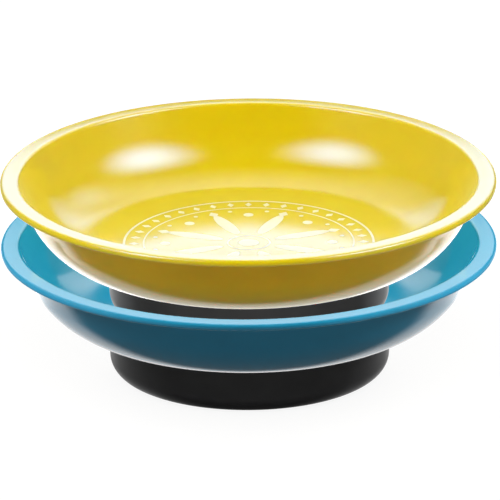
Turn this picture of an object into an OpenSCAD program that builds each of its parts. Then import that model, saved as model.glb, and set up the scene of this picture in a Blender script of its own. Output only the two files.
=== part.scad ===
// Magnetic pin holder: two round magnetic dishes of one shape, the upper one standing in the lower one.
// Millimetres, +Z up, origin at the middle of the lower dish's underside.

/* [Bowl] */
// Outside diameter of the lip
rim_d = 108; // [100:1:130]
// Depth from the lip's inner corner to the inner floor
bowl_depth = 14.9; // [13:0.1:24]
// Thickness of the floor over the magnet
floor_t = 2.6; // [1.6:0.1:3.5]
// Thickness of the upper wall
wall_t = 1.2; // [1:0.1:1.8]
// Lean of the upper wall from upright, in degrees
wall_lean = 26; // [15:1:32]
// Radius of the bend under the wall
outer_bend_r = 18.7; // [15:0.1:20]
// Radius of the bend between the inner wall and the floor
inner_bend_r = 17.5; // [12:0.1:19]
// Depth of the seat for the base cup in the underside
seat_depth = 0.6; // [0.4:0.1:1.2]

/* [Lip] */
// Width of the lip from its outer edge to the inner wall
lip_w = 4.1; // [3.6:0.1:5.5]
// Fall of the lip from its inner corner to its outer edge
lip_drop = 0.1; // [0:0.05:1.2]
// Upright thickness of the lip
lip_t = 1.3; // [1.2:0.1:2]
// Rounding of the lip's upper outer edge
lip_edge_r = 0.9; // [0.2:0.05:0.95]
// Rounding of the lip's lower outer edge
lip_under_r = 0.3; // [0.1:0.1:0.3]
// Rounding of the lip's inner edge
lip_inner_r = 0.9; // [0.4:0.1:1.2]
// Fillet between the lip and the outer wall
lip_root_r = 0.7; // [0.4:0.1:1]

/* [Magnet] */
// Diameter of the ring magnet
magnet_d = 55; // [48:0.5:58]
// Thickness of the ring magnet
magnet_t = 7; // [6:0.5:10]
// Chamfer on the magnet's edges
magnet_chamfer = 0.5; // [0.3:0.1:1]
// Free space between the cup's post and the magnet's hole
magnet_hole_room = 4.5; // [2:0.1:8]
// Free space between the magnet and the cup's wall
magnet_gap = 1.1; // [0.6:0.1:2]
// Thickness of the steel keeper plate
keeper_t = 1.5; // [1:0.1:2.5]
// Free space between the cup's post and the keeper plate
keeper_gap = 0.4; // [0.2:0.1:1]
// Thickness of the foam cushion ring
cushion_t = 0.7; // [0.5:0.1:1.5]

/* [Base cup] */
// Thickness of the cup's wall
cup_wall_t = 1.8; // [1.4:0.1:2.5]
// Thickness of the cup's floor above the foot pad
cup_floor_t = 1.6; // [1.2:0.1:3]
// Rounding of the cup's bottom edge
cup_edge_r = 4; // [2:0.1:4.5]
// Room around the cup in the bowl's seat
seat_clearance = 0.1; // [0.05:0.05:0.3]
// Thickness of the post's roof under the screw boss
post_roof_t = 1.5; // [1:0.1:2]
// Thickness of the post's wall around the screw head
post_wall_t = 1.6; // [1.2:0.1:2.5]
// Number of ribs that centre the magnet
rib_count = 6; // [3:1:12]
// Width of a centring rib
rib_w = 2; // [1:0.1:4]
// Room between a centring rib and the magnet
rib_clearance = 0.2; // [0.1:0.05:0.4]

/* [Screw] */
// Outside diameter of the screw's thread
screw_d = 3.5; // [3:0.1:4]
// Length of the screw under its head
screw_length = 7.5; // [6.5:0.1:7.8]
// Diameter of the screw head
head_d = 7; // [6:0.1:8]
// Height of the screw head
head_h = 2.2; // [2:0.1:2.4]
// Rounding of the screw head's edge
head_edge_r = 1.2; // [0.6:0.1:1.8]
// Width of the driver slots
slot_w = 1.1; // [0.8:0.1:1.4]
// Length of the driver slots
slot_l = 4; // [3:0.1:4.5]
// Depth of the driver slots
slot_depth = 1.3; // [0.8:0.1:1.5]
// Bite of the thread into the boss, on the radius
thread_bite = 0.25; // [0.15:0.05:0.4]
// Free depth past the screw's tip in the boss
tip_room = 0.6; // [0.4:0.1:0.8]
// Wall of the screw boss around its hole
boss_wall_t = 3; // [2:0.1:3.5]
// Room around the screw's shank in the washer and the cup
screw_clearance = 0.2; // [0.1:0.05:0.4]
// Thickness of the washer
washer_t = 0.6; // [0.5:0.1:1]
// Rim of the washer outside the screw head
washer_rim = 1; // [0.6:0.1:1.6]
// Room around the washer in the cup
washer_clearance = 0.4; // [0.2:0.1:0.8]

/* [Foot pad] */
// Thickness of the foot pad
pad_t = 1.2; // [1:0.1:2]
// Height that the pad stands out under the cup
pad_proud = 0.3; // [0.2:0.1:0.6]
// Flat rim of the cup left around the pad's pocket
pad_margin = 1.2; // [0.6:0.1:3]
// Room around the pad in its pocket
pad_clearance = 0.15; // [0.1:0.05:0.3]
// Width left open between the screw hole and the pad
pad_hole_margin = 5; // [3:0.1:7]
// Number of grip grooves in the pad
groove_count = 4; // [2:1:6]
// Width of a grip groove
groove_w = 0.9; // [0.6:0.1:1.4]
// Depth of a grip groove
groove_depth = 0.4; // [0.2:0.1:0.6]

/* [Hidden] */
$fn = 180;
// Overrun of cuts past the faces that they open
over = 1;
// Reach of a rounding's construction lines past the faces that it joins
reach = 0.5;
// Depth by which an arc crosses the faces it runs into, so that they share one clean edge
bite = 0.001;

lower_colour = [0.16, 0.58, 0.71];
upper_colour = [0.90, 0.77, 0.16];
black_colour = [0.13, 0.13, 0.14];
pad_colour = [0.22, 0.22, 0.23];
ferrite_colour = [0.30, 0.29, 0.29];
steel_colour = [0.72, 0.73, 0.75];
foam_colour = [0.55, 0.55, 0.52];

// Heights of one dish, from the underside of its foot pad
keeper_z = pad_t + cup_floor_t;
magnet_z = keeper_z + keeper_t;
cushion_z = magnet_z + magnet_t;
cup_top_z = cushion_z + cushion_t;
skirt_z = cup_top_z - seat_depth;
floor_z = cup_top_z + floor_t;
lip_top_z = floor_z + bowl_depth;
washer_z = pad_t + head_h;
post_floor_z = washer_z + washer_t;
post_top_z = post_floor_z + post_roof_t;
screw_tip_z = washer_z + screw_length;

// The upper dish stands on the lower dish's floor
stack_pitch = floor_z;

// Radii worked out from the fits between the pieces
rim_r = rim_d / 2;
magnet_r = magnet_d / 2;
cup_bore_r = magnet_r + magnet_gap;
cup_r = cup_bore_r + cup_wall_t;
shank_hole_r = screw_d / 2 + screw_clearance;
boss_hole_r = screw_d / 2 - thread_bite;
boss_r = boss_hole_r + boss_wall_t;
washer_r = head_d / 2 + washer_rim;
head_hole_r = washer_r + washer_clearance;
post_r = head_hole_r + post_wall_t;
keeper_hole_r = post_r + keeper_gap;
magnet_hole_r = post_r + magnet_hole_room;
pad_r = cup_r - cup_edge_r - pad_margin;
pad_hole_r = head_hole_r + pad_hole_margin;

// The inner wall leans out to the lip's inner corner; the outer wall runs parallel to it
function inner_wall_r(z) = rim_r - lip_w - (lip_top_z - z) * tan(wall_lean);
function outer_wall_r(z) = inner_wall_r(z) + wall_t / cos(wall_lean);

// The lip falls slightly from that corner to its outer edge
lip_slope = atan(lip_drop / lip_w);
function lip_z(r) = lip_top_z - (r - rim_r + lip_w) * tan(lip_slope);

// Point at a distance outside the inner wall and at an upright depth under the lip's top
function lip_corner(wall_offset, depth) =
    let (r = rim_r - lip_w + (wall_offset / cos(wall_lean) - depth * tan(wall_lean))
        / (1 + tan(wall_lean) * tan(lip_slope)))
    [r, lip_z(r) - depth];

// Centres of the bends that touch both a level line and a leaning wall
inner_bend_z = floor_z + inner_bend_r;
outer_bend_z = skirt_z + outer_bend_r;
inner_bend = [inner_wall_r(inner_bend_z) - inner_bend_r / cos(wall_lean), inner_bend_z];
outer_bend = [outer_wall_r(outer_bend_z) - outer_bend_r / cos(wall_lean), outer_bend_z];

// Unit vector at an angle in a half section, and the angles square to the inner wall and to the lip's top
function heading(angle) = [cos(angle), sin(angle)];
wall_side = 180 - wall_lean;
lip_side = 90 - lip_slope;

// Piece between a corner and the arc that rounds it: taken off a convex corner, added in a concave one
module corner_piece(centre, r, start, end) {
    far = r + reach;
    difference() {
        polygon([
            centre,
            centre + far * heading(start),
            centre + far / cos((end - start) / 2) * heading((start + end) / 2),
            centre + far * heading(end)
        ]);
        translate(centre) circle(r = r + bite);
    }
}

// Half section of everything inside a leaning wall that bends into a level bottom
module bent_section(bend, bend_r, wall_end) {
    polygon([
        [0, bend.y - bend_r],
        [bend.x, bend.y - bend_r],
        bend - (bend_r - bite) * heading(wall_side),
        wall_end + bite * heading(wall_side),
        [0, wall_end.y]
    ]);
    intersection() {
        translate(bend) circle(r = bend_r);
        translate([bend.x, bend.y - bend_r]) square([bend_r, min(bend_r, wall_end.y - bend.y + bend_r)]);
    }
}

// Lip with its outer edges rounded
module lip_section() {
    root = lip_corner(wall_t, lip_t);
    inside_r = inner_wall_r(root.y) - reach;
    top = rim_r - lip_edge_r;
    low = rim_r - lip_under_r;
    difference() {
        polygon([
            [inside_r, root.y],
            root,
            [rim_r, lip_z(rim_r) - lip_t],
            [rim_r, lip_z(rim_r)],
            [inside_r, lip_z(inside_r)]
        ]);
        corner_piece([top, lip_z(top) - lip_edge_r / cos(lip_slope)], lip_edge_r, 0, lip_side);
        corner_piece([low, lip_z(low) - lip_t + lip_under_r / cos(lip_slope)], lip_under_r, lip_side - 180, 0);
    }
}

// Fillet where the outer wall meets the underside of the lip
module lip_root_section() {
    centre = lip_corner(wall_t + lip_root_r, lip_t + lip_root_r / cos(lip_slope));
    corner_piece(centre, lip_root_r, lip_side, wall_side);
}

// Corner that is taken off the lip's inner edge
module lip_inner_trim() {
    corner_piece(lip_corner(lip_inner_r, lip_inner_r / cos(lip_slope)), lip_inner_r, lip_side, wall_side);
}

module bowl_section() {
    difference() {
        union() {
            bent_section(outer_bend, outer_bend_r, lip_corner(wall_t, lip_t));
            lip_section();
            lip_root_section();
        }
        bent_section(inner_bend, inner_bend_r, [inner_wall_r(lip_top_z + over), lip_top_z + over]);
        lip_inner_trim();
        translate([0, skirt_z - over]) square([cup_r + seat_clearance, seat_depth + over]);
    }
}

// Moulded dish with the screw boss under its floor
module bowl(shade) {
    color(shade) difference() {
        union() {
            rotate_extrude() bowl_section();
            translate([0, 0, post_top_z]) cylinder(r = boss_r, h = floor_z - floor_t / 2 - post_top_z);
        }
        translate([0, 0, post_top_z - over])
            cylinder(r = boss_hole_r, h = screw_tip_z + tip_room - post_top_z + over);
    }
}

module base_cup_section() {
    difference() {
        translate([0, pad_proud]) square([cup_r, cup_top_z - pad_proud]);
        corner_piece([cup_r - cup_edge_r, pad_proud + cup_edge_r], cup_edge_r, -90, 0);
        translate([post_r, keeper_z]) square([cup_bore_r - post_r, cup_top_z - keeper_z + over]);
        translate([0, post_top_z]) square([post_r + over, cup_top_z - post_top_z + over]);
        translate([0, pad_proud - over]) square([pad_r + pad_clearance, pad_t - pad_proud + over]);
        translate([0, pad_proud]) square([head_hole_r, post_floor_z - pad_proud]);
        square([shank_hole_r, cup_top_z]);
    }
}

// Black base with a post for the screw and ribs that centre the magnet
module base_cup() {
    rib_l = magnet_gap - rib_clearance;
    color(black_colour) {
        rotate_extrude() base_cup_section();
        for (i = [0 : rib_count - 1]) rotate(i * 360 / rib_count) intersection() {
            translate([cup_bore_r - rib_l, -rib_w / 2, keeper_z - cup_floor_t / 2])
                cube([rib_l + cup_wall_t / 2, rib_w, cushion_z - keeper_z + cup_floor_t / 2]);
            cylinder(r = cup_bore_r + cup_wall_t / 2, h = cup_top_z);
        }
    }
}

module ring_magnet() {
    color(ferrite_colour) translate([0, 0, magnet_z]) rotate_extrude() polygon([
        [magnet_hole_r + magnet_chamfer, 0],
        [magnet_r - magnet_chamfer, 0],
        [magnet_r, magnet_chamfer],
        [magnet_r, magnet_t - magnet_chamfer],
        [magnet_r - magnet_chamfer, magnet_t],
        [magnet_hole_r + magnet_chamfer, magnet_t],
        [magnet_hole_r, magnet_t - magnet_chamfer],
        [magnet_hole_r, magnet_chamfer]
    ]);
}

// Flat ring that stands on a given height
module flat_ring(z, outer_r, hole_r, t) {
    translate([0, 0, z]) difference() {
        cylinder(r = outer_r, h = t);
        translate([0, 0, -over]) cylinder(r = hole_r, h = t + 2 * over);
    }
}

module keeper_plate() {
    color(steel_colour) flat_ring(keeper_z, magnet_r, keeper_hole_r, keeper_t);
}

module cushion_ring() {
    color(foam_colour) flat_ring(cushion_z, magnet_r, magnet_hole_r, cushion_t);
}

module washer() {
    color(steel_colour) flat_ring(washer_z, washer_r, shank_hole_r, washer_t);
}

// Self-tapping screw with a rounded head and a cross slot
module screw() {
    color(steel_colour) difference() {
        union() {
            rotate_extrude() translate([0, pad_t]) difference() {
                square([head_d / 2, head_h]);
                corner_piece([head_d / 2 - head_edge_r, head_edge_r], head_edge_r, -90, 0);
            }
            translate([0, 0, washer_z - head_h / 2])
                cylinder(d = screw_d, h = screw_length + head_h / 2);
        }
        for (turn = [0, 90]) rotate(turn)
            translate([-slot_l / 2, -slot_w / 2, pad_t - over]) cube([slot_l, slot_w, slot_depth + over]);
    }
}

// Soft ring with grip grooves in its underside
module foot_pad() {
    groove_step = (pad_r - pad_hole_r) / (groove_count + 1);
    color(pad_colour) rotate_extrude() difference() {
        translate([pad_hole_r, 0]) square([pad_r - pad_hole_r, pad_t]);
        for (i = [1 : groove_count])
            translate([pad_hole_r + i * groove_step - groove_w / 2, -over])
                square([groove_w, groove_depth + over]);
    }
}

module stacked() {
    translate([0, 0, stack_pitch]) children();
}

bowl(lower_colour);  // lower_bowl
base_cup();  // lower_base_cup
ring_magnet();  // lower_ring_magnet
keeper_plate();  // lower_keeper_plate
cushion_ring();  // lower_cushion_ring
screw();  // lower_screw
washer();  // lower_washer
foot_pad();  // lower_foot_pad
stacked() bowl(upper_colour);  // upper_bowl
stacked() base_cup();  // upper_base_cup
stacked() ring_magnet();  // upper_ring_magnet
stacked() keeper_plate();  // upper_keeper_plate
stacked() cushion_ring();  // upper_cushion_ring
stacked() screw();  // upper_screw
stacked() washer();  // upper_washer
stacked() foot_pad();  // upper_foot_pad
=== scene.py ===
# %% [markdown]
# # Two stacking magnetic pin dishes
# The object is two round dishes of one shape, a yellow one standing in a blue one. Each is a glossy
# moulded bowl on a black base, and the base hides a ring magnet that holds pins in the bowl.
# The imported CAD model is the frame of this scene. It has two bodies, one for each dish, and every
# piece that is made here is drawn in metres, in its place, and rides on one of them.

# %% Load the frame
import math

import bmesh
import bpy
from mathutils import Matrix, Vector


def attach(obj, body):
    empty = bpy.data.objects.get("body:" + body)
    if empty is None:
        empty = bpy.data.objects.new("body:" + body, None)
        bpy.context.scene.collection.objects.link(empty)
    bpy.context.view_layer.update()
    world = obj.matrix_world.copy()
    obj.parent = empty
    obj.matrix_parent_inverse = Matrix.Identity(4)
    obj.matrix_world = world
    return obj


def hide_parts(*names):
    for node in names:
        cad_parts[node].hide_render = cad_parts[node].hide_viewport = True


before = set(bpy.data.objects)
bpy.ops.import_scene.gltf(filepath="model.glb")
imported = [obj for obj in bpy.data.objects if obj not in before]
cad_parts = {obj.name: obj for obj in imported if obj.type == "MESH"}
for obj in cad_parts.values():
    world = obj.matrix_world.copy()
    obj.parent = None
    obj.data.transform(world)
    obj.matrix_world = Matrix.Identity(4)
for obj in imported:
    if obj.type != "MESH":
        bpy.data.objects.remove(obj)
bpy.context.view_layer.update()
scene = bpy.context.scene

# %% [markdown]
# ## Camera
# The picture was taken from far away with a long lens, because the ovals of the two rims keep one
# shape from front to back. A near camera with a short lens would make the front rim too wide. So the
# camera stands four metres off, and its lens is worked out from the scale of the picture: how many
# pixels a millimetre of the rim covers. It leans by half a degree, as the tilt of the rims shows.

# %% Place the camera
MM = 0.001
PIXELS = 500
PIXELS_PER_MM = 4.598
CAMERA_RISE = math.radians(19.5)
CAMERA_LEAN = math.radians(-0.5)
CAMERA_DISTANCE = 4.0
CAMERA_REACH = 12.0
CAMERA_AIM = Vector((0.26, 0.0, 27.5)) * MM
SENSOR_MM = 36.0

camera_data = bpy.data.cameras.new("camera")
camera_data.sensor_width = SENSOR_MM
camera_data.lens = PIXELS_PER_MM * CAMERA_DISTANCE / MM / PIXELS * SENSOR_MM
camera_data.clip_end = CAMERA_REACH
camera = bpy.data.objects.new("camera", camera_data)
scene.collection.objects.link(camera)
camera_side = Vector((0, -math.cos(CAMERA_RISE), math.sin(CAMERA_RISE)))
camera.matrix_world = (
    Matrix.Translation(CAMERA_AIM + CAMERA_DISTANCE * camera_side)
    @ Matrix.Rotation(math.pi / 2 - CAMERA_RISE, 4, "X")
    @ Matrix.Rotation(CAMERA_LEAN, 4, "Z")
)
scene.camera = camera
print("lens", round(camera_data.lens), "mm")

# %% [markdown]
# ## Finishes
# Everything on these dishes is moulded, pressed or sintered, so each finish is the same recipe with
# other numbers: a colour that drifts a little, a gloss that drifts with it, and a fine grain that
# dents the surface. Image textures could hold the same detail, but they need UV maps and files.
# Noise in Object coordinates needs neither, and it stays at its true size in metres. What is the same
# all over, such as the index of refraction, is set on the shader itself.

# %% Helpers for nodes
def add_node(tree, kind, values=None, **settings):
    """One node with its settings and the values of its inputs."""
    node = tree.nodes.new(kind)
    for name, value in settings.items():
        setattr(node, name, value)
    for name, value in (values or {}).items():
        node.inputs[name].default_value = value
    return node


def ramp(tree, value, reach, levels, **settings):
    """A number that goes from one level to the other while the value crosses the reach."""
    node = add_node(tree, "ShaderNodeMapRange", {
        "From Min": reach[0], "From Max": reach[1], "To Min": levels[0], "To Max": levels[1]}, **settings)
    tree.links.new(value, node.inputs["Value"])
    return node.outputs["Result"]


# %% Recipe for a finish
DRIFT_REACH = (0.3, 0.7)
DRIFT_DETAIL = 3


def make_finish(name, light, dark, patch, gloss, grain, depth,
                stretch=(1, 1, 1), cells=False, **constants):
    """A material whose colour and roughness drift over patches, with a grain of a given size and depth."""
    material = bpy.data.materials.new(name)
    material.use_nodes = True
    tree = material.node_tree
    link = tree.links.new
    shader = tree.nodes["Principled BSDF"]
    for socket, value in constants.items():
        shader.inputs[socket.replace("_", " ")].default_value = value
    where = add_node(tree, "ShaderNodeTexCoord")
    turn = add_node(tree, "ShaderNodeMapping", {"Scale": stretch})
    drift = add_node(tree, "ShaderNodeTexNoise", {"Scale": 1 / patch, "Detail": DRIFT_DETAIL})
    fine = add_node(tree, "ShaderNodeTexVoronoi" if cells else "ShaderNodeTexNoise", {"Scale": 1 / grain})
    colour = add_node(tree, "ShaderNodeValToRGB")
    for stop, at, shade in zip(colour.color_ramp.elements, DRIFT_REACH, (dark, light)):
        stop.position, stop.color = at, (*shade, 1)
    bump = add_node(tree, "ShaderNodeBump", {"Strength": 1, "Distance": depth})
    link(where.outputs["Object"], turn.inputs["Vector"])
    for pattern in (drift, fine):
        link(turn.outputs["Vector"], pattern.inputs["Vector"])
    link(drift.outputs["Fac"], colour.inputs["Fac"])
    link(colour.outputs["Color"], shader.inputs["Base Color"])
    link(ramp(tree, drift.outputs["Fac"], DRIFT_REACH, gloss), shader.inputs["Roughness"])
    link(fine.outputs["Distance" if cells else "Fac"], bump.inputs["Height"])
    link(bump.outputs["Normal"], shader.inputs["Normal"])
    print("finish", name)
    return material


# %% [markdown]
# ## Glossy bowl plastic
# The bowls are glossy ABS. Polished moulds leave a skin that mirrors softly, with a slight waviness
# called orange peel about a millimetre across, and the pigment flows so that the colour is never quite
# even. The waviness could be modelled, but it is only microns deep, so the bump carries it. Light also
# spreads a little inside the yellow plastic before it comes out again, which softens its shadows.

# %% Bowl finishes
PLASTIC = {"IOR": 1.53}
SPREAD = {"Subsurface_Weight": 0.9, "Subsurface_Radius": (1.0, 0.8, 0.06), "Subsurface_Scale": 1.6 * MM}
yellow_gloss = make_finish(
    "yellow_gloss", light=(0.84, 0.655, 0.0075), dark=(0.80, 0.62, 0.0065), patch=9 * MM,
    gloss=(0.12, 0.15), grain=1.1 * MM, depth=0.0008 * MM, **PLASTIC, **SPREAD)
blue_gloss = make_finish(
    "blue_gloss", light=(0.020, 0.355, 0.60), dark=(0.017, 0.33, 0.56), patch=9 * MM,
    gloss=(0.11, 0.14), grain=1.1 * MM, depth=0.0008 * MM, **PLASTIC)

# %% [markdown]
# ## A lathe in Geometry Nodes
# The bowl, the base, the foot pad and the cushion ring are all turned shapes: one outline swept round
# the upright axis. A Screw modifier would sweep it too, but it can't round the corners. So this tree
# takes a chain of corner points, each with a fillet radius of its own, rounds them with Fillet Curve,
# sweeps them round a guide circle and welds the seam and the poles. A corner without a fillet stays
# sharp. The same tree makes every turned piece, and the lift raises it to its dish.

# %% Helpers for trees
def new_tree(name, sizes):
    """An empty modifier tree with a named input for each size and one geometry output."""
    tree = bpy.data.node_groups.new(name, "GeometryNodeTree")
    tree.is_modifier = True
    tree.interface.new_socket("Geometry", in_out="INPUT", socket_type="NodeSocketGeometry")
    for size, kind in sizes.items():
        tree.interface.new_socket(size, in_out="INPUT", socket_type="NodeSocket" + kind)
    tree.interface.new_socket("Geometry", in_out="OUTPUT", socket_type="NodeSocketGeometry")
    given = tree.nodes.new("NodeGroupInput").outputs
    result = tree.nodes.new("NodeGroupOutput").inputs["Geometry"]
    return tree, given, result


def end_tree(tree, given, result, geometry):
    """Real faces and a finish, so that nothing is left as an instance."""
    real = add_node(tree, "GeometryNodeRealizeInstances")
    paint = add_node(tree, "GeometryNodeSetMaterial")
    tree.links.new(geometry, real.inputs["Geometry"])
    tree.links.new(real.outputs["Geometry"], paint.inputs["Geometry"])
    tree.links.new(given["Finish"], paint.inputs["Material"])
    tree.links.new(paint.outputs["Geometry"], result)
    print(tree.name, "tree", len(tree.nodes), "nodes")


# %% Lathe tree
GUIDE_R = 10 * MM


def lathe_tree():
    """A tree that rounds the corners of an outline and sweeps it round the upright axis."""
    tree, given, result = new_tree("turned piece", {
        "Segments": "Int", "Fillet Steps": "Int", "Lift": "Float", "Weld": "Float", "Finish": "Material"})
    link = tree.links.new
    chain = add_node(tree, "GeometryNodeMeshToCurve")
    corner = add_node(tree, "GeometryNodeInputNamedAttribute", {"Name": "fillet"}, data_type="FLOAT")
    fillet = add_node(tree, "GeometryNodeFilletCurve", mode="POLY")
    inward = add_node(tree, "GeometryNodeTransform", {"Translation": (-GUIDE_R, 0, 0), "Scale": (1, -1, 1)})
    guide = add_node(tree, "GeometryNodeCurvePrimitiveCircle", {"Radius": GUIDE_R})
    upright = add_node(tree, "GeometryNodeSetCurveNormal", mode="Z_UP")
    sweep = add_node(tree, "GeometryNodeCurveToMesh")
    weld = add_node(tree, "GeometryNodeMergeByDistance")
    height = add_node(tree, "ShaderNodeCombineXYZ")
    lift = add_node(tree, "GeometryNodeTransform")
    link(given["Geometry"], chain.inputs["Mesh"])
    link(chain.outputs["Curve"], fillet.inputs["Curve"])
    link(corner.outputs["Attribute"], fillet.inputs["Radius"])
    link(given["Fillet Steps"], fillet.inputs["Count"])
    link(fillet.outputs["Curve"], inward.inputs["Geometry"])
    link(given["Segments"], guide.inputs["Resolution"])
    link(guide.outputs["Curve"], upright.inputs["Curve"])
    link(upright.outputs["Curve"], sweep.inputs["Curve"])
    link(inward.outputs["Geometry"], sweep.inputs["Profile Curve"])
    link(sweep.outputs["Mesh"], weld.inputs["Geometry"])
    link(given["Weld"], weld.inputs["Distance"])
    link(given["Lift"], height.inputs["Z"])
    link(weld.outputs["Geometry"], lift.inputs["Geometry"])
    link(height.outputs["Vector"], lift.inputs["Translation"])
    end_tree(tree, given, result, lift.outputs["Geometry"])
    return tree


turned_piece = lathe_tree()

# %% [markdown]
# ## From tree to plain mesh
# A tree is a recipe until it is evaluated. The modifier could stay live, but what comes later needs
# plain meshes. So these helpers draw an outline as a chain of edges, put the tree on it with its sizes,
# and keep the evaluated result. The sweep can leave faces pointing inwards, so they are turned outwards
# while the shell is closed, and edges that are sharper than a fillet step are marked so that the
# shading breaks there and nowhere else.

# %% Helpers for an outline
def draw_outline(name, loops, closed):
    """An object whose mesh is one or more chains of (radius, height, fillet) corners, in millimetres."""
    corners = [corner for loop in loops for corner in loop]
    edges = []
    for loop in loops:
        first = len(edges) if closed else 0
        ends = [first + i for i in range(len(loop))]
        edges += list(zip(ends, ends[1:] + ends[:1] if closed else ends[1:]))
    mesh = bpy.data.meshes.new(name)
    mesh.from_pydata([(r * MM, z * MM, 0) for r, z, _ in corners], edges, [])
    radii = mesh.attributes.new("fillet", "FLOAT", "POINT")
    radii.data.foreach_set("value", [f * MM for _, _, f in corners])
    piece = bpy.data.objects.new(name, mesh)
    scene.collection.objects.link(piece)
    return piece


def grow(piece, tree, **sizes):
    """Puts a tree on a piece and sets its inputs by their identifiers."""
    modifier = piece.modifiers.new(tree.name, "NODES")
    modifier.node_group = tree
    for socket in tree.interface.items_tree:
        key = socket.name.replace(" ", "_").lower()
        if socket.in_out == "INPUT" and key in sizes:
            modifier[socket.identifier] = sizes[key]


# %% Helper for a plain mesh
SHARP = math.radians(31)


def freeze(piece):
    """Keeps the evaluated result as a plain closed mesh with faces outwards."""
    graph = bpy.context.evaluated_depsgraph_get()
    drawn, mesh = piece.data, bpy.data.meshes.new_from_object(piece.evaluated_get(graph))
    piece.modifiers.clear()
    piece.data = mesh
    bpy.data.meshes.remove(drawn)
    shell = bmesh.new()
    shell.from_mesh(mesh)
    bmesh.ops.recalc_face_normals(shell, faces=shell.faces)
    loose = sum(not edge.is_manifold for edge in shell.edges)
    shell.to_mesh(mesh)
    shell.free()
    mesh.name = piece.name
    mesh.shade_smooth()
    mesh.set_sharp_from_angle(angle=SHARP)
    high = max(vertex.co.z for vertex in mesh.vertices) / MM
    print(piece.name, len(mesh.polygons), "faces", loose, "open edges", "top", round(high, 2), "mm")


# %% [markdown]
# ## Bowls
# Each bowl is moulded in one shot: a flat floor, a wide bend into a leaning wall, and a flat lip with
# a rounded edge. Under the floor are a shallow seat for the base and a boss for one screw. The
# sizes are those of the CAD model, so the mesh lies on it exactly. A cylinder could be pushed into this
# form by hand, but the lathe keeps every size, and its fillets catch the light along the lip as the
# real edges do.

# %% Sizes of the bowl
RIM_R, LIP_W, LIP_DROP, LIP_T = 54.0, 4.1, 0.1, 1.3
LIP_EDGE_R, LIP_UNDER_R, LIP_INNER_R, LIP_ROOT_R = 0.9, 0.3, 0.9, 0.7
WALL_T, WALL_LEAN = 1.2, math.radians(26)
INNER_BEND_R, OUTER_BEND_R = 17.5, 18.7
CUP_TOP, SKIRT, FLOOR, LIP_TOP = 12.0, 11.4, 14.6, 29.5
SEAT_R = 30.5
BOSS_R, BOSS_HOLE_R, BOSS_FOOT, BOSS_HOLE_TOP = 4.5, 1.5, 5.5, 11.5
STACK_PITCH = FLOOR


def inner_wall(z):
    """Radius of the wall's inner face at a height."""
    return RIM_R - LIP_W - (LIP_TOP - z) * math.tan(WALL_LEAN)


def outer_wall(z):
    """Radius of the wall's outer face at a height."""
    return inner_wall(z) + WALL_T / math.cos(WALL_LEAN)


def lip_top(r):
    """Height of the lip's upper face at a radius."""
    return LIP_TOP - (r - RIM_R + LIP_W) * LIP_DROP / LIP_W


lean, slope = math.tan(WALL_LEAN), LIP_DROP / LIP_W
root_r = RIM_R - LIP_W + (WALL_T / math.cos(WALL_LEAN) - LIP_T * lean) / (1 + lean * slope)
bowl_outline = [
    (0, FLOOR, 0),
    (inner_wall(FLOOR), FLOOR, INNER_BEND_R),
    (RIM_R - LIP_W, LIP_TOP, LIP_INNER_R),
    (RIM_R, lip_top(RIM_R), LIP_EDGE_R),
    (RIM_R, lip_top(RIM_R) - LIP_T, LIP_UNDER_R),
    (root_r, lip_top(root_r) - LIP_T, LIP_ROOT_R),
    (outer_wall(SKIRT), SKIRT, OUTER_BEND_R),
    (SEAT_R, SKIRT, 0),
    (SEAT_R, CUP_TOP, 0),
    (BOSS_R, CUP_TOP, 0),
    (BOSS_R, BOSS_FOOT, 0),
    (BOSS_HOLE_R, BOSS_FOOT, 0),
    (BOSS_HOLE_R, BOSS_HOLE_TOP, 0),
    (0, BOSS_HOLE_TOP, 0),
]
print("flat floor to radius", round(inner_wall(FLOOR), 2), "mm before its bend")

# %% Turn the bowls
LIFT = {"lower": 0.0, "upper": STACK_PITCH * MM}
BOWL_FINISH = {"lower": blue_gloss, "upper": yellow_gloss}
BOWL_SEGMENTS, BOWL_STEPS = 192, 16
WELD = 0.0005 * MM


def turn_piece(name, outline, dish, finish, closed=True, segments=BOWL_SEGMENTS, steps=BOWL_STEPS):
    """One turned piece of a dish, made by the lathe tree."""
    piece = draw_outline(f"{dish}_{name}", [outline], closed)
    grow(piece, turned_piece, segments=segments, fillet_steps=steps, weld=WELD, finish=finish,
         lift=LIFT[dish])
    return piece


def seat(piece, dish, node):
    """The piece rides on its dish and, where it stands for a CAD node, hides that node."""
    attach(piece, f"{dish}_dish")
    if node:
        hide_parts(f"{dish}_{node}")


for dish in LIFT:
    bowl = turn_piece("moulded_bowl", bowl_outline, dish, BOWL_FINISH[dish], closed=False)
    freeze(bowl)
    seat(bowl, dish, "bowl")

# %% [markdown]
# ## Black bases
# The base is a black cup of satin plastic that holds the magnet. Its bottom edge has a wide rounding,
# and its underside has a pocket for the foot pad and a well for the screw head. Inside, six small ribs
# keep the magnet in the middle. The cup is turned as the bowl is. The ribs repeat, so a second tree
# sets one prism out in a ring: how many, how far from the axis, and how long, wide and high each is.
# An Array modifier could do it, but the tree also sets out the printed motifs later on.

# %% Helpers for sums and vectors
def feed(tree, socket, value):
    """Gives an input a number or a link."""
    if isinstance(value, (int, float)):
        socket.default_value = value
    else:
        tree.links.new(value, socket)


def math_of(tree, operation, *values):
    """One math node on links or numbers."""
    node = add_node(tree, "ShaderNodeMath", operation=operation)
    for socket, value in zip(node.inputs, values):
        feed(tree, socket, value)
    return node.outputs["Value"]


def vector_of(tree, **parts):
    """One vector from links or numbers, with the other parts at zero."""
    node = add_node(tree, "ShaderNodeCombineXYZ")
    for axis, value in parts.items():
        feed(tree, node.inputs[axis], value)
    return node.outputs["Vector"]


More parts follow.
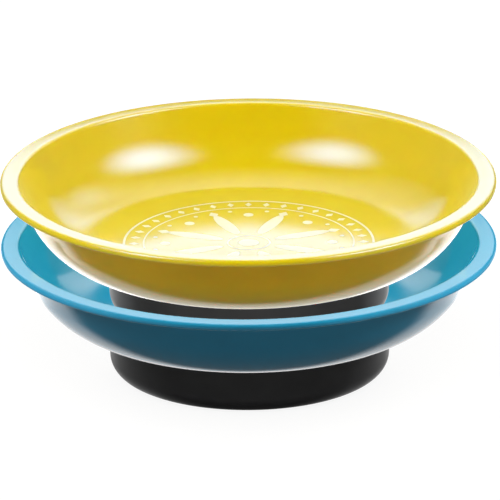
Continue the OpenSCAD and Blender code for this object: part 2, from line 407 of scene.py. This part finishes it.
# %% Tree for a ring of blocks
def ring_tree():
    """A tree that adds a ring of upright prisms to what it is given."""
    tree, given, result = new_tree("block ring", {
        "Count": "Int", "Ring Radius": "Float", "Start": "Float", "Sides": "Int", "Corner Turn": "Float",
        "Length": "Float", "Width": "Float", "Height": "Float", "Foot": "Float", "Finish": "Material"})
    link = tree.links.new
    prism = add_node(tree, "GeometryNodeMeshCylinder", {"Radius": 0.5})
    turn = add_node(tree, "GeometryNodeTransform")
    place = add_node(tree, "GeometryNodeTransform")
    points = add_node(tree, "GeometryNodePoints")
    number = add_node(tree, "GeometryNodeInputIndex")
    ring = add_node(tree, "GeometryNodeInstanceOnPoints")
    both = add_node(tree, "GeometryNodeJoinGeometry")
    middle = math_of(tree, "MULTIPLY_ADD", given["Height"], 0.5, given["Foot"])
    step = math_of(tree, "DIVIDE", math.tau, given["Count"])
    angle = math_of(tree, "ADD", math_of(tree, "MULTIPLY", number.outputs["Index"], step), given["Start"])
    link(given["Sides"], prism.inputs["Vertices"])
    link(given["Height"], prism.inputs["Depth"])
    link(prism.outputs["Mesh"], turn.inputs["Geometry"])
    link(vector_of(tree, Z=given["Corner Turn"]), turn.inputs["Rotation"])
    link(turn.outputs["Geometry"], place.inputs["Geometry"])
    link(vector_of(tree, X=given["Length"], Y=given["Width"], Z=1), place.inputs["Scale"])
    link(vector_of(tree, X=given["Ring Radius"], Z=middle), place.inputs["Translation"])
    link(given["Count"], points.inputs["Count"])
    link(points.outputs["Points"], ring.inputs["Points"])
    link(place.outputs["Geometry"], ring.inputs["Instance"])
    link(vector_of(tree, Z=angle), ring.inputs["Rotation"])
    link(ring.outputs["Instances"], both.inputs["Geometry"])
    link(given["Geometry"], both.inputs["Geometry"])
    end_tree(tree, given, result, both.outputs["Geometry"])
    return tree


block_ring = ring_tree()

# %% Base finish and sizes
black_satin = make_finish(
    "black_satin", light=(0.051, 0.051, 0.053), dark=(0.043, 0.043, 0.045), patch=6 * MM,
    gloss=(0.30, 0.38), grain=0.35 * MM, depth=0.004 * MM, IOR=1.5, Specular_IOR_Level=0.05)
CUP_R, CUP_BORE_R, CUP_EDGE_R, POCKET_EDGE_R = 30.4, 28.6, 4.0, 0.15
PAD_T, PAD_PROUD, PAD_R, PAD_POCKET_R, PAD_HOLE_R = 1.2, 0.3, 25.2, 25.35, 9.9
KEEPER_LOW, CUSHION_LOW = 2.8, 11.3
POST_R, POST_TOP, WELL_TOP, WELL_R, SHANK_HOLE_R = 6.5, 5.5, 4.0, 4.9, 1.95
RIB_COUNT, RIB_W, RIB_IN_R, RIB_OUT_R, RIB_LOW = 6, 2.0, 27.7, 29.5, 2.0
cup_outline = [
    (PAD_POCKET_R, PAD_PROUD, POCKET_EDGE_R),
    (CUP_R, PAD_PROUD, CUP_EDGE_R),
    (CUP_R, CUP_TOP, 0),
    (CUP_BORE_R, CUP_TOP, 0),
    (CUP_BORE_R, KEEPER_LOW, 0),
    (POST_R, KEEPER_LOW, 0),
    (POST_R, POST_TOP, 0),
    (SHANK_HOLE_R, POST_TOP, 0),
    (SHANK_HOLE_R, WELL_TOP, 0),
    (WELL_R, WELL_TOP, 0),
    (WELL_R, PAD_T, 0),
    (PAD_POCKET_R, PAD_T, 0),
]
print("base", 2 * CUP_R, "mm across,", CUP_TOP - PAD_PROUD, "mm high")

# %% Turn the bases and add their ribs
SQUARE_TURN = math.pi / 4
SQUARE = 1 / math.cos(SQUARE_TURN)
for dish in LIFT:
    cup = turn_piece("magnet_cup", cup_outline, dish, black_satin)
    grow(cup, block_ring, count=RIB_COUNT, ring_radius=(RIB_IN_R + RIB_OUT_R) / 2 * MM, start=0.0,
         sides=4, corner_turn=SQUARE_TURN, length=(RIB_OUT_R - RIB_IN_R) * SQUARE * MM,
         width=RIB_W * SQUARE * MM, height=(CUSHION_LOW - RIB_LOW) * MM,
         foot=LIFT[dish] + RIB_LOW * MM, finish=black_satin)
    freeze(cup)
    seat(cup, dish, "base_cup")

# %% [markdown]
# ## Foot pads
# A ring of soft rubber is let into the underside so that the dish doesn't slide. Round grooves give it
# grip. A flat ring with a striped bump would do from far away, but the grooves have depth, so the pad
# is one more turned outline, with the grooves counted off between its two edges. Every edge gets a
# small fillet because moulded rubber has no sharp ones.

# %% Turn the foot pads
foot_rubber = make_finish(
    "foot_rubber", light=(0.034, 0.034, 0.036), dark=(0.026, 0.026, 0.028), patch=5 * MM,
    gloss=(0.72, 0.85), grain=0.25 * MM, depth=0.012 * MM, IOR=1.5, Specular_IOR_Level=0.35)
GROOVES, GROOVE_W, GROOVE_DEPTH, SOFT_EDGE = 4, 0.9, 0.4, 0.12
RING_SEGMENTS, PAD_STEPS = 128, 4
groove_step = (PAD_R - PAD_HOLE_R) / (GROOVES + 1)
pad_outline = [(PAD_HOLE_R, PAD_T, SOFT_EDGE), (PAD_HOLE_R, 0, SOFT_EDGE)]
for i in range(1, GROOVES + 1):
    near, far = (PAD_HOLE_R + i * groove_step + way * GROOVE_W / 2 for way in (-1, 1))
    pad_outline += [(near, 0, SOFT_EDGE), (near, GROOVE_DEPTH, SOFT_EDGE),
                    (far, GROOVE_DEPTH, SOFT_EDGE), (far, 0, SOFT_EDGE)]
pad_outline += [(PAD_R, 0, SOFT_EDGE), (PAD_R, PAD_T, SOFT_EDGE)]
for dish in LIFT:
    pad = turn_piece("grip_pad", pad_outline, dish, foot_rubber, segments=RING_SEGMENTS, steps=PAD_STEPS)
    freeze(pad)
    seat(pad, dish, "foot_pad")

# %% [markdown]
# ## Cushion rings
# A thin ring of foam lies between the magnet and the bowl's floor, so that the magnet doesn't rattle.
# The two flat faces press it, so only its edges bulge. A cloth simulation is the usual way to swell a
# cushion, but here nothing is free to swell except those edges, and a round fillet is their shape.

# %% Turn the cushion rings
foam = make_finish(
    "foam", light=(0.30, 0.30, 0.27), dark=(0.22, 0.22, 0.20), patch=4 * MM,
    gloss=(0.85, 0.95), grain=0.5 * MM, depth=0.08 * MM, cells=True, IOR=1.45, Specular_IOR_Level=0.2)
RING_HOLE_R, RING_R, FOAM_BULGE, FOAM_STEPS = 11.0, 27.5, 0.34, 6
foam_outline = [(r, z, FOAM_BULGE) for r, z in (
    (RING_HOLE_R, CUSHION_LOW), (RING_R, CUSHION_LOW), (RING_R, CUP_TOP), (RING_HOLE_R, CUP_TOP))]
for dish in LIFT:
    cushion = turn_piece("foam_ring", foam_outline, dish, foam, segments=RING_SEGMENTS, steps=FOAM_STEPS)
    freeze(cushion)
    seat(cushion, dish, "cushion_ring")

# %% [markdown]
# ## Floor print
# The floor of the dish has a round design printed in pale ink. A colour pattern in the material could
# draw it, but ink has an edge and a thickness, so it is modelled as a film a few hundredths of a
# millimetre thick. The plain circles come from the lathe, one small box of an outline for each. The
# leaves, lozenges and dots come from the ring tree, one modifier for each ring, stacked on one object.

# %% Print the floors
pale_ink = make_finish(
    "pale_ink", light=(0.93, 0.85, 0.52), dark=(0.87, 0.78, 0.45), patch=2 * MM,
    gloss=(0.30, 0.38), grain=0.3 * MM, depth=0.003 * MM, IOR=1.5)
INK_T = 0.03
INK_LINES = [(26.9, 27.4), (22.7, 23.05), (4.4, 4.75)]
INK_RINGS = [
    {"count": 40, "at": 24.95, "sides": 4, "size": (2.3, 1.5), "start": 0.0},
    {"count": 8, "at": 12.6, "sides": 20, "size": (13.0, 3.0), "start": 0.5},
    {"count": 8, "at": 19.9, "sides": 4, "size": (3.2, 2.2), "start": 0.5},
    {"count": 8, "at": 18.2, "sides": 16, "size": (2.2, 2.2), "start": 0.0},
    {"count": 16, "at": 20.7, "sides": 12, "size": (1.0, 1.0), "start": 0.5},
    {"count": 1, "at": 0.0, "sides": 24, "size": (4.4, 4.4), "start": 0.0},
]
ink_boxes = [[(near, FLOOR, 0), (far, FLOOR, 0), (far, FLOOR + INK_T, 0), (near, FLOOR + INK_T, 0)]
             for near, far in INK_LINES]
for dish in LIFT:
    ink = draw_outline(f"{dish}_floor_print", ink_boxes, closed=True)
    grow(ink, turned_piece, segments=RING_SEGMENTS, fillet_steps=1, weld=WELD, finish=pale_ink,
         lift=LIFT[dish])
    for motif in INK_RINGS:
        grow(ink, block_ring, count=motif["count"], ring_radius=motif["at"] * MM,
             start=motif["start"] * math.tau / motif["count"], sides=motif["sides"], corner_turn=0.0,
             length=motif["size"][0] * MM, width=motif["size"][1] * MM, height=INK_T * MM,
             foot=LIFT[dish] + FLOOR * MM, finish=pale_ink)
    freeze(ink)
    seat(ink, dish, None)

# %% [markdown]
# ## Hardware inside the base
# The magnet, its steel plate, the screw and the washer are simple hard shapes that the CAD model already
# has right, so modelling them again would add nothing. They stay and only get their finishes. Sintered
# ferrite is dark and slightly speckled, the plate is rolled steel with a faint grain along one way, and
# the screw and washer are zinc plated.

# %% Finish the hardware
ferrite = make_finish(
    "ferrite", light=(0.062, 0.060, 0.060), dark=(0.040, 0.039, 0.039), patch=1.2 * MM,
    gloss=(0.50, 0.66), grain=0.12 * MM, depth=0.01 * MM, IOR=2.2)
plate_steel = make_finish(
    "plate_steel", light=(0.56, 0.57, 0.58), dark=(0.46, 0.47, 0.48), patch=1.0 * MM,
    gloss=(0.28, 0.42), grain=0.2 * MM, depth=0.004 * MM, stretch=(0.05, 1, 1), Metallic=1.0)
screw_steel = make_finish(
    "screw_steel", light=(0.66, 0.68, 0.71), dark=(0.56, 0.58, 0.60), patch=0.8 * MM,
    gloss=(0.22, 0.34), grain=0.15 * MM, depth=0.003 * MM, Metallic=1.0)
HARDWARE = {"ring_magnet": ferrite, "keeper_plate": plate_steel, "screw": screw_steel, "washer": screw_steel}
for dish in LIFT:
    for name, finish in HARDWARE.items():
        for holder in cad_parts[f"{dish}_{name}"].material_slots:
            holder.material = finish
print("hardware", ", ".join(HARDWARE))

# %% [markdown]
# ## White background
# The dishes stand in front of white. Brighter lamps would burn the background white, and the dishes
# with it. Instead the Light Path node tells a ray that comes from the camera, or from a mirror or glass,
# apart from a ray that carries light: the first kind sees white, and the second a dim studio.

# %% White world
WHITE = (1, 1, 1, 1)
STUDIO_LEVEL = 0.2


def mix_shaders(tree, factor, first, second):
    """One shader that turns into another as the factor goes from 0 to 1."""
    node = add_node(tree, "ShaderNodeMixShader")
    for socket, value in zip(node.inputs, (factor, first, second)):
        tree.links.new(value, socket)
    return node.outputs["Shader"]


def seen_directly(tree):
    """1 for camera, mirror and glass rays, and 0 for rays that only carry light."""
    path = add_node(tree, "ShaderNodeLightPath").outputs
    mirror = math_of(tree, "MAXIMUM", path["Is Glossy Ray"], path["Is Transmission Ray"])
    return math_of(tree, "MAXIMUM", path["Is Camera Ray"], mirror)


scene.world = bpy.data.worlds.new("studio")
scene.world.use_nodes = True
studio = scene.world.node_tree
dim = studio.nodes["Background"]
dim.inputs["Color"].default_value = WHITE
dim.inputs["Strength"].default_value = STUDIO_LEVEL
white = add_node(studio, "ShaderNodeBackground", {"Color": WHITE, "Strength": 1})
backdrop = mix_shaders(studio, seen_directly(studio), dim.outputs["Background"], white.outputs["Background"])
studio.links.new(backdrop, studio.nodes["World Output"].inputs["Surface"])
print("world", STUDIO_LEVEL, "for light, 1 for the camera")

# %% [markdown]
# ## Floor
# The floor glows for the camera and is lit by the lamps as well, so it looks white and still keeps the
# shadow of the dishes. The gloss sees another floor, a painted reflection that keeps the undersides deep in
# colour in front and gives them white edges. A second plane could be hidden from the camera, but one
# material can do both jobs. To the gloss the floor is painted shade in front, a dim glow that rises further
# out, and a painted white reflection behind, brighter further out. The border between them lies a little
# in front of the middle and bows back at the sides.

# %% Floor material
FLOOR_GREY, FLOOR_ROUGH, FLOOR_GLOW = 0.13, 0.9, 0.91
# Painted shade in front and a painted white reflection behind: glows that only the gloss of the dishes sees.
SHADE_REFLECTION_REACH, SHADE_REFLECTION_LEVELS = (100 * MM, 170 * MM), (0.18, 0.5)
REFLECTION_BORDER, REFLECTION_BOW = (-29 * MM, -20 * MM), (92 * MM) ** 3
WHITE_REFLECTION_LEVELS = (0, 1.15)
WHITE_REFLECTION_REACH, WHITE_REFLECTION_GAIN = (58 * MM, 68 * MM), (1, 2)


def to_surface(tree, shader):
    """Makes a shader the surface of its material."""
    tree.links.new(shader, tree.nodes["Material Output"].inputs["Surface"])


def mirrored_floor(tree):
    """The floor as the gloss sees it: painted shade in front and a painted white reflection behind."""
    where = add_node(tree, "ShaderNodeTexCoord").outputs["Object"]
    length = add_node(tree, "ShaderNodeVectorMath", operation="LENGTH")
    axes = add_node(tree, "ShaderNodeSeparateXYZ")
    tree.links.new(where, length.inputs[0])
    tree.links.new(where, axes.inputs["Vector"])
    radius, x, y = length.outputs["Value"], axes.outputs["X"], axes.outputs["Y"]
    square = math_of(tree, "MULTIPLY", x, x)
    bow = math_of(tree, "DIVIDE", math_of(tree, "MULTIPLY", square, square), REFLECTION_BOW)
    # Painted shade in front, rising further out, and a painted white reflection behind, brighter further
    # out.
    painted_shade = ramp(tree, radius, SHADE_REFLECTION_REACH, SHADE_REFLECTION_LEVELS)
    behind = ramp(tree, math_of(tree, "SUBTRACT", y, bow), REFLECTION_BORDER, WHITE_REFLECTION_LEVELS)
    painted_white = math_of(tree, "MULTIPLY", ramp(tree, radius, WHITE_REFLECTION_REACH, WHITE_REFLECTION_GAIN), behind)
    glow = add_node(tree, "ShaderNodeEmission")
    tree.links.new(math_of(tree, "MAXIMUM", painted_shade, painted_white), glow.inputs["Strength"])
    return glow.outputs["Emission"]


pale_floor = bpy.data.materials.new("pale_floor")
pale_floor.use_nodes = True
floor_tree = pale_floor.node_tree
matt = floor_tree.nodes["Principled BSDF"]
for socket, value in {"Base Color": (FLOOR_GREY, FLOOR_GREY, FLOOR_GREY, 1), "Roughness": FLOOR_ROUGH,
                      "Specular IOR Level": 0.0, "Emission Color": WHITE}.items():
    matt.inputs[socket].default_value = value
floor_tree.links.new(math_of(floor_tree, "MULTIPLY", seen_directly(floor_tree), FLOOR_GLOW),
                     matt.inputs["Emission Strength"])
is_gloss = add_node(floor_tree, "ShaderNodeLightPath").outputs["Is Glossy Ray"]
to_surface(floor_tree, mix_shaders(floor_tree, is_gloss, matt.outputs["BSDF"], mirrored_floor(floor_tree)))
print("floor material", len(floor_tree.nodes), "nodes")

# %% Lay the floor
FLOOR_R, FLOOR_SIDES = 1.2, 96
disc = bmesh.new()
bmesh.ops.create_circle(disc, cap_ends=True, segments=FLOOR_SIDES, radius=FLOOR_R)
ground = bpy.data.meshes.new("floor")
disc.to_mesh(ground)
disc.free()
ground.materials.append(pale_floor)
floor = bpy.data.objects.new("floor", ground)
scene.collection.objects.link(floor)
print("floor", FLOOR_R, "m")

# %% [markdown]
# ## Lamps for the colours
# The colours of the dishes are lit from all round: a large soft key over the camera, a weak fill under
# it, a long lamp behind and one at each side. The same lamps could be mirrored in the gloss too, but
# then each change to a highlight would change the colours with it. So these lamps serve the colours
# alone, and the highlights get their own sheets later. A lamp is given by its radiance, the
# brightness of its face, because that stays the same when its size changes, and its power doesn't.

# %% Softbox lamps
LIGHT_AIM = Vector((0, 0, 25)) * MM
SIDE_TURNS = {"left": -80, "right": 80}
SIDE_BOX, STRIP_BOX = (0.5, 0.5), (0.8, 0.3)
KEY_PLACE = {"azimuth": 180, "elevation": 55, "size": (0.8, 0.5)}


def heading(azimuth, elevation):
    """Direction from the dishes, with the azimuth counted from behind them towards the right."""
    a, e = math.radians(azimuth), math.radians(elevation)
    return Vector((math.sin(a) * math.cos(e), math.cos(a) * math.cos(e), math.sin(e)))


def softbox(name, azimuth, elevation, size, radiance, distance=1.0, serves="diffuse"):
    """A soft rectangle of a given radiance that faces the dishes and serves their colour or their gloss."""
    lamp = bpy.data.lights.new(name, "AREA")
    lamp.shape = "RECTANGLE"
    lamp.size, lamp.size_y = size
    lamp.energy = radiance * math.pi * size[0] * size[1]
    holder = bpy.data.objects.new(name, lamp)
    away = heading(azimuth, elevation)
    holder.location = LIGHT_AIM + distance * away
    holder.rotation_euler = away.to_track_quat("Z", "Y").to_euler()
    holder.visible_camera = False
    holder.visible_diffuse = serves == "diffuse"
    holder.visible_glossy = serves == "glossy"
    scene.collection.objects.link(holder)
    print(name, round(lamp.energy, 1), "W")
    return holder


back = softbox("back_light", azimuth=0, elevation=25.8, size=(1.05, 0.235), radiance=5.4, distance=0.9)
key = softbox("key", radiance=4.7, **KEY_PLACE)
softbox("fill", azimuth=180, elevation=14, size=STRIP_BOX, radiance=0.55)
for way, turn in SIDE_TURNS.items():
    softbox(f"{way}_side", azimuth=turn, elevation=40, size=SIDE_BOX, radiance=2.9)

# %% [markdown]
# ## Dark screen
# Glossy plastic mirrors whatever stands around it, and an all-white room would wash its colour out.
# Photographers hang dark cloth around such things. A darker world would do it too, but the colours
# would lose its light as well. So a dome stands round the dishes that only their gloss can see. It is
# black along the middle, before and behind, and turns grey at the sides.

# %% Helpers for glowing sheets
def glow_material(name):
    """A material that only glows, with its emission node."""
    material = bpy.data.materials.new(name)
    material.use_nodes = True
    tree = material.node_tree
    tree.nodes.remove(tree.nodes["Principled BSDF"])
    glow = add_node(tree, "ShaderNodeEmission")
    to_surface(tree, glow.outputs["Emission"])
    return material, glow


def stand_sheet(name, rows, material):
    """A sheet from rows of points that only the gloss of the dishes can see."""
    across = len(rows[0])
    points = [point for row in rows for point in row]
    panels = [(i, i + 1, i + across + 1, i + across)
              for i in range(len(points) - across) if (i + 1) % across]
    mesh = bpy.data.meshes.new(name)
    mesh.from_pydata(points, [], panels)
    mesh.materials.append(material)
    sheet = bpy.data.objects.new(name, mesh)
    sheet.visible_camera = sheet.visible_diffuse = sheet.visible_shadow = False
    scene.collection.objects.link(sheet)
    print(name, len(panels), "panels")
    return sheet


# %% Hang the screen
SCREEN_R = 1.5
SCREEN_TURNS = range(0, 361, 10)
SCREEN_RISES = (2, *range(10, 91, 10))
SCREEN_REACH, SCREEN_LEVELS = (0.6, 1.2), (0, 0.35)
screen_grey, cloth = glow_material("screen_grey")
cloth_tree = screen_grey.node_tree
cloth_spot = add_node(cloth_tree, "ShaderNodeTexCoord")
cloth_axes = add_node(cloth_tree, "ShaderNodeSeparateXYZ")
cloth_tree.links.new(cloth_spot.outputs["Object"], cloth_axes.inputs["Vector"])
sideways = math_of(cloth_tree, "ABSOLUTE", cloth_axes.outputs["X"])
cloth_tree.links.new(ramp(cloth_tree, sideways, SCREEN_REACH, SCREEN_LEVELS), cloth.inputs["Strength"])
stand_sheet("dark_screen", [[SCREEN_R * heading(turn, rise) for turn in SCREEN_TURNS]
                            for rise in SCREEN_RISES], screen_grey)

# %% [markdown]
# ## Feathered softboxes for the gloss
# The highlights on the yellow bowl are a picture of softboxes. Two soft patches on the wall come from
# two boxes at the sides. The pale lips and the pale near floor mirror a low bank behind the dishes, at
# a flat angle where plastic mirrors most. A sky bank above it draws the pale band where the wall bends
# into the floor, and a small bank at the right makes that band paler at its left end. A lamp has a hard
# rim, and so does its reflection. So each box is a sheet that glows by a formula, bright in the middle
# and fading to nothing. The sheets are see-through, so that two that overlap add up. Only the flag is
# solid: a small black card that keeps the far lip deep in colour, and the middle of the near floor
# too. Most boxes are cool, because white on top of strong yellow would clip to cream.

# %% Recipe for a feathered sheet
LEFT_GLEAM = Vector((-21, 41, 36)) * MM
RIGHT_GLEAM = Vector((18, 43, 36)) * MM
COOL = (0.32, 0.54, 1.0, 1)


def feathered_glow(name, middle, axes, fade, colour, radiance):
    """A glow that fades smoothly to nothing at a distance from the middle along each of two axes."""
    material, glow = glow_material(name)
    glow.inputs["Color"].default_value = colour
    tree = material.node_tree
    offset = add_node(tree, "ShaderNodeVectorMath", {1: middle}, operation="SUBTRACT")
    tree.links.new(add_node(tree, "ShaderNodeTexCoord").outputs["Object"], offset.inputs[0])
    squares = []
    for axis, reach in zip(axes, fade):
        along = add_node(tree, "ShaderNodeVectorMath", {1: axis / reach}, operation="DOT_PRODUCT")
        tree.links.new(offset.outputs["Vector"], along.inputs[0])
        squares.append(math_of(tree, "MULTIPLY", along.outputs["Value"], along.outputs["Value"]))
    distance = math_of(tree, "SQRT", math_of(tree, "ADD", *squares))
    tree.links.new(ramp(tree, distance, (0, 1), (radiance, 0), interpolation_type="SMOOTHSTEP"),
                   glow.inputs["Strength"])
    if radiance:
        sheer = add_node(tree, "ShaderNodeAddShader")
        tree.links.new(glow.outputs["Emission"], sheer.inputs[0])
        tree.links.new(add_node(tree, "ShaderNodeBsdfTransparent").outputs["BSDF"], sheer.inputs[1])
        to_surface(tree, sheer.outputs["Shader"])
    return material


# %% Stand the feathered sheets
FEATHERED = {
    "right_softbox": {"place": (104.0, 50.3, 0.8), "aim": LEFT_GLEAM, "half": (0.37, 0.37),
                      "fade": (0.37, 0.37), "colour": COOL, "radiance": 20.5},
    "left_softbox": {"place": (-115.2, 53.3, 0.8), "aim": RIGHT_GLEAM, "half": (0.36, 0.36),
                     "fade": (0.36, 0.36), "colour": COOL, "radiance": 18.2},
    "sky_bank": {"place": (0, 50, 0.95), "aim": LIGHT_AIM, "half": (0.9, 0.75),
                 "fade": (1.2, 0.75), "colour": WHITE, "radiance": 2.05},
    "low_bank": {"place": (1, 22, 0.92), "aim": LIGHT_AIM, "half": (0.66, 0.24),
                 "fade": (0.92, 0.30), "colour": COOL, "radiance": 4.8},
    "right_bank": {"place": (37, 37, 0.9), "aim": LIGHT_AIM, "half": (0.26, 0.22),
                   "fade": (0.26, 0.22), "colour": COOL, "radiance": 2.6},
    "flag": {"place": (0, 15, 0.9), "aim": LIGHT_AIM, "half": (0.08, 0.05),
             "fade": (1, 1), "colour": COOL, "radiance": 0},
}
feathered = {}
for name, box in FEATHERED.items():
    azimuth, elevation, distance = box["place"]
    away = heading(azimuth, elevation)
    middle = box["aim"] + distance * away
    level = Vector((0, 0, 1)).cross(away).normalized()
    upward = away.cross(level)
    width, height = box["half"]
    corners = [[middle + a * width * level + b * height * upward for a in (-1, 1)] for b in (-1, 1)]
    glow = feathered_glow(name, middle, (level, upward), box["fade"], box["colour"], box["radiance"])
    feathered[name] = stand_sheet(name, corners, glow)

# %% [markdown]
# ## Two dishes lit one by one
# The picture shows the inside of the lower dish as bright as that of the upper one, and neither dish
# mirrors or shades the other, as if each had been lit alone. Two renders could be put together, but
# light linking does it in one: a lamp is told which pieces it lights and which pieces block it. The
# lower bowl has a key, a bank and side lamps of its own that the upper dish doesn't block, and is left
# out of most that serve the upper one. The upper bowl has low fills and the upper base has one too,
# which the lower dish doesn't block. The gloss doesn't see the dishes at all, and the lower bowl
# throws no colour on the upper one.

# %% Groups of pieces
def piece_group(name, pieces, state="INCLUDE"):
    """A collection of pieces that a lamp is linked to or kept from."""
    group = bpy.data.collections.new(name)
    for piece in pieces:
        group.objects.link(piece)
    for member in group.collection_objects:
        member.light_linking.link_state = state
    return group


dressed = {dish: [thing for thing in scene.objects if thing.type == "MESH" and thing.name.startswith(dish)]
           for dish in LIFT}
lower_bowl = bpy.data.objects["lower_moulded_bowl"]
lower_inside = [lower_bowl, bpy.data.objects["lower_floor_print"]]
only_lower_inside = piece_group("only_lower_inside", lower_inside)
all_but_lower_inside = piece_group("all_but_lower_inside", lower_inside, "EXCLUDE")
only_upper_bowl = piece_group("only_upper_bowl", [bpy.data.objects["upper_moulded_bowl"]])
only_upper_base = piece_group("only_upper_base", [bpy.data.objects["upper_magnet_cup"]])
past_upper_dish = piece_group("past_upper_dish", dressed["upper"], "EXCLUDE")
past_lower_dish = piece_group("past_lower_dish", dressed["lower"], "EXCLUDE")
past_lower_and_floor = piece_group("past_lower_and_floor", [*dressed["lower"], floor], "EXCLUDE")
print("pieces", {dish: len(pieces) for dish, pieces in dressed.items()})

# %% Lamps for one dish
LOWER_SIDES = {"left": 9.3, "right": 10.6}
UPPER_FILL_TURNS = {"left": -100, "right": 100}
UPPER_ONLY = ("low_bank", "right_bank", "left_softbox", "right_softbox")


def serve(light, receivers, blockers=None):
    """Links a lamp or a glowing sheet to the pieces that it lights and those that block it."""
    light.light_linking.receiver_collection = receivers
    if blockers:
        light.light_linking.blocker_collection = blockers


lower_lamps = [
    softbox("lower_key", radiance=0.5, **KEY_PLACE),
    softbox("lower_bank", azimuth=0, elevation=24.4, size=(0.9, 0.24), radiance=1.3, distance=0.9,
            serves="glossy"),
]
for way, radiance in LOWER_SIDES.items():
    lower_lamps.append(softbox(f"lower_{way}_side", azimuth=SIDE_TURNS[way], elevation=35, size=SIDE_BOX,
                               radiance=radiance))
for lamp in lower_lamps:
    serve(lamp, only_lower_inside, past_upper_dish)
for light in (key, back, *(feathered[name] for name in UPPER_ONLY)):
    serve(light, all_but_lower_inside)
base_fill = softbox("base_fill", azimuth=180, elevation=10, size=STRIP_BOX, radiance=8.0)
serve(base_fill, only_upper_base, past_lower_dish)
for way, turn in UPPER_FILL_TURNS.items():
    upper_fill = softbox(f"upper_{way}_fill", azimuth=turn, elevation=-15, size=STRIP_BOX, radiance=2.7)
    serve(upper_fill, only_upper_bowl, past_lower_and_floor)
for piece in dressed["lower"] + dressed["upper"]:
    piece.visible_glossy = False
lower_bowl.visible_diffuse = False

# %% [markdown]
# ## Far walls for the gloss
# The near floor of each dish does mirror its own far wall, and the gloss no longer sees that wall. Making
# the bowl visible again would bring back every other reflection too. So a sheet in the thickness of each
# far wall glows in the dish's colour, a painted reflection of that wall which no lamp lights, and from
# behind it is clear. The underside of the upper dish also looks down on the lower sheet. That underside
# gets white edges from a painted reflection: rays that fall steeply on the lower sheet see white, which
# fades out towards the front.

# %% Material of the painted far-wall reflections
# Painted reflections of the far walls in a fixed colour of each dish, and painted white edges on the upper
# underside.
FAR_REFLECTION_COLOUR = {"lower": (0.03, 0.29, 0.45, 1), "upper": (0.90, 0.76, 0.19, 1)}
STEEP = {"lower": 0.3, "upper": 1.0}
PAINTED_EDGE_REACH, PAINTED_EDGE_LEVELS = (-19 * MM, -10 * MM), (0, 2.2)


def far_wall_glow(dish):
    """Painted reflection: the dish's colour, or white for rays that fall more steeply than a limit, on the
    front alone.
    """
    material, own = glow_material(f"{dish}_far_wall")
    own.inputs["Color"].default_value = FAR_REFLECTION_COLOUR[dish]
    tree = material.node_tree
    ray = add_node(tree, "ShaderNodeNewGeometry").outputs
    fall = add_node(tree, "ShaderNodeSeparateXYZ")
    spot = add_node(tree, "ShaderNodeSeparateXYZ")
    pale = add_node(tree, "ShaderNodeEmission", {"Color": WHITE})
    clear = add_node(tree, "ShaderNodeBsdfTransparent")
    tree.links.new(ray["Incoming"], fall.inputs["Vector"])
    tree.links.new(ray["Position"], spot.inputs["Vector"])
    # Painted white edges: steep rays from the upper underside see white on the lower sheet, fading towards
    # the front.
    tree.links.new(ramp(tree, spot.outputs["Y"], PAINTED_EDGE_REACH, PAINTED_EDGE_LEVELS), pale.inputs["Strength"])
    steep = math_of(tree, "GREATER_THAN", fall.outputs["Z"], STEEP[dish])
    front = mix_shaders(tree, steep, own.outputs["Emission"], pale.outputs["Emission"])
    to_surface(tree, mix_shaders(tree, ray["Backfacing"], front, clear.outputs["BSDF"]))
    return material


# %% Stand the painted far-wall reflections
FAR_WALL = [(20, -0.4, 0), (32, -0.4, 0), (36.5, 0.3, 0), (41.2, 2.5, 0), (47.8, 9.5, 0), (50.3, 14.6, 1.3)]
FAR_TURNS = range(-110, 111, 10)
FAR_EXTRA_TURN = 40


def far_wall_point(dish, radius, rise, extra, turn):
    """A point of the sheet, whose top has some extra height away from the middle."""
    angle = math.radians(turn)
    height = FLOOR + rise + extra * min(1, abs(turn) / FAR_EXTRA_TURN)
    return Vector((radius * math.sin(angle) * MM, radius * math.cos(angle) * MM, height * MM + LIFT[dish]))


for dish in LIFT:
    rows = [[far_wall_point(dish, *corner, turn) for turn in FAR_TURNS] for corner in FAR_WALL]
    stand_sheet(f"far_wall_{dish}", rows, far_wall_glow(dish))

# %% [markdown]
# ## Colours
# A film-like view would soften the highlights, but it would dull the colours with them. The Standard
# view keeps every colour as the lamps light it.

# %% Finish
scene.view_settings.view_transform = "Standard"
